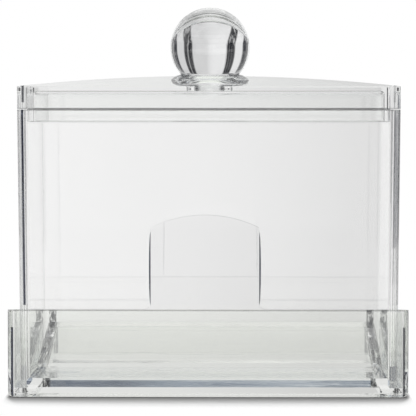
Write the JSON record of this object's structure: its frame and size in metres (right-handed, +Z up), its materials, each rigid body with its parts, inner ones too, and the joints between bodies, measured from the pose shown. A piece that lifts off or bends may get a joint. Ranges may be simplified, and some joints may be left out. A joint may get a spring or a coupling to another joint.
{
  "type": "cotton swab holder",
  "caption": "Clear plastic cotton swab dispenser: a drafted hopper with an arched front window stands in a deep tray with a ramped floor, under a lift-off lid with a ball knob.",
  "frame": {"origin": "centre of the tray's footprint, on the table", "axes": "+X to the right along the tray's front wall, +Y towards the back, +Z up; the swabs come out towards -Y"},
  "size_m": [0.096, 0.073, 0.0947],
  "materials": {
    "tray": "clear polished moulding",
    "hopper": "clear polished moulding",
    "lid": "clear polished moulding",
    "knob": "clear polished moulding"
  },
  "bodies": {
    "stand": {"tray": "tray", "hopper": "hopper"},
    "cover": {"lid": "lid", "knob": "knob"}
  },
  "joints": [
    {"name": "lid_lift", "type": "slide", "parent": "stand", "child": "cover", "axis": [0, 0, 1], "range_m": [0, 0.06]}
  ]
}
